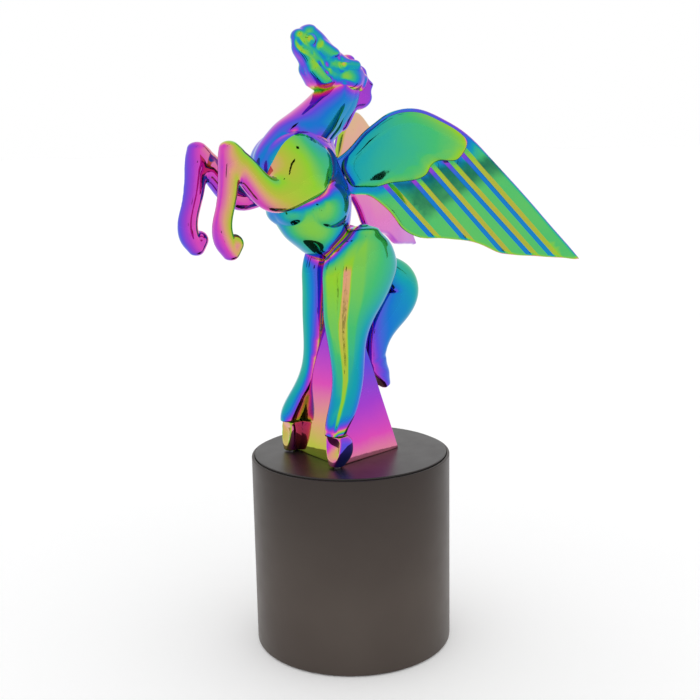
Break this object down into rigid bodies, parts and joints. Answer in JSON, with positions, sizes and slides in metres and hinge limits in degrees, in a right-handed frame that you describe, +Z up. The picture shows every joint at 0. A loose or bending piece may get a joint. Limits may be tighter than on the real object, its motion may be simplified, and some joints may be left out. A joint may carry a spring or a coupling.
{
  "type": "hood ornament",
  "caption": "Rearing winged horse mascot in rainbow-plated metal, with a tapering pedestal, grooved swept wings and a round dark display drum.",
  "frame": {"origin": "centre of the underside of the drum, on the surface it stands on", "axes": "+Z up; the horse faces -X; its left side is -Y; the figure is mirror-symmetric about the XZ plane"},
  "size_m": [0.1646, 0.1144, 0.275],
  "materials": {
    "rainbow_plating": "mirror, rainbow vapour-deposited plating",
    "drum_finish": "satin dark bronze-grey",
    "disc_finish": "satin near-black",
    "steel": "plain turned",
    "felt": "felt"
  },
  "bodies": {
    "root": {"base_drum": "drum_finish", "top_disc": "disc_finish", "base_plate": "steel", "felt_pad": "felt", "plate_screws": "steel", "disc_pins": "steel", "hoof_pins": "steel", "tie_rod": "steel", "tie_washer": "steel", "tie_nut": "steel", "pedestal": "rainbow_plating", "torso": "rainbow_plating", "neck": "rainbow_plating", "head": "rainbow_plating", "mane": "rainbow_plating", "foreleg_left": "rainbow_plating", "foreleg_right": "rainbow_plating", "hindleg_left": "rainbow_plating", "hindleg_right": "rainbow_plating", "tail": "rainbow_plating", "wing_left": "rainbow_plating", "wing_right": "rainbow_plating", "covert_left": "rainbow_plating", "covert_right": "rainbow_plating", "neck_dowel": "steel", "head_dowel": "steel", "shoulder_dowels": "steel", "hip_dowels": "steel", "tail_dowel": "steel", "wing_studs": "steel"}
  },
  "joints": []
}
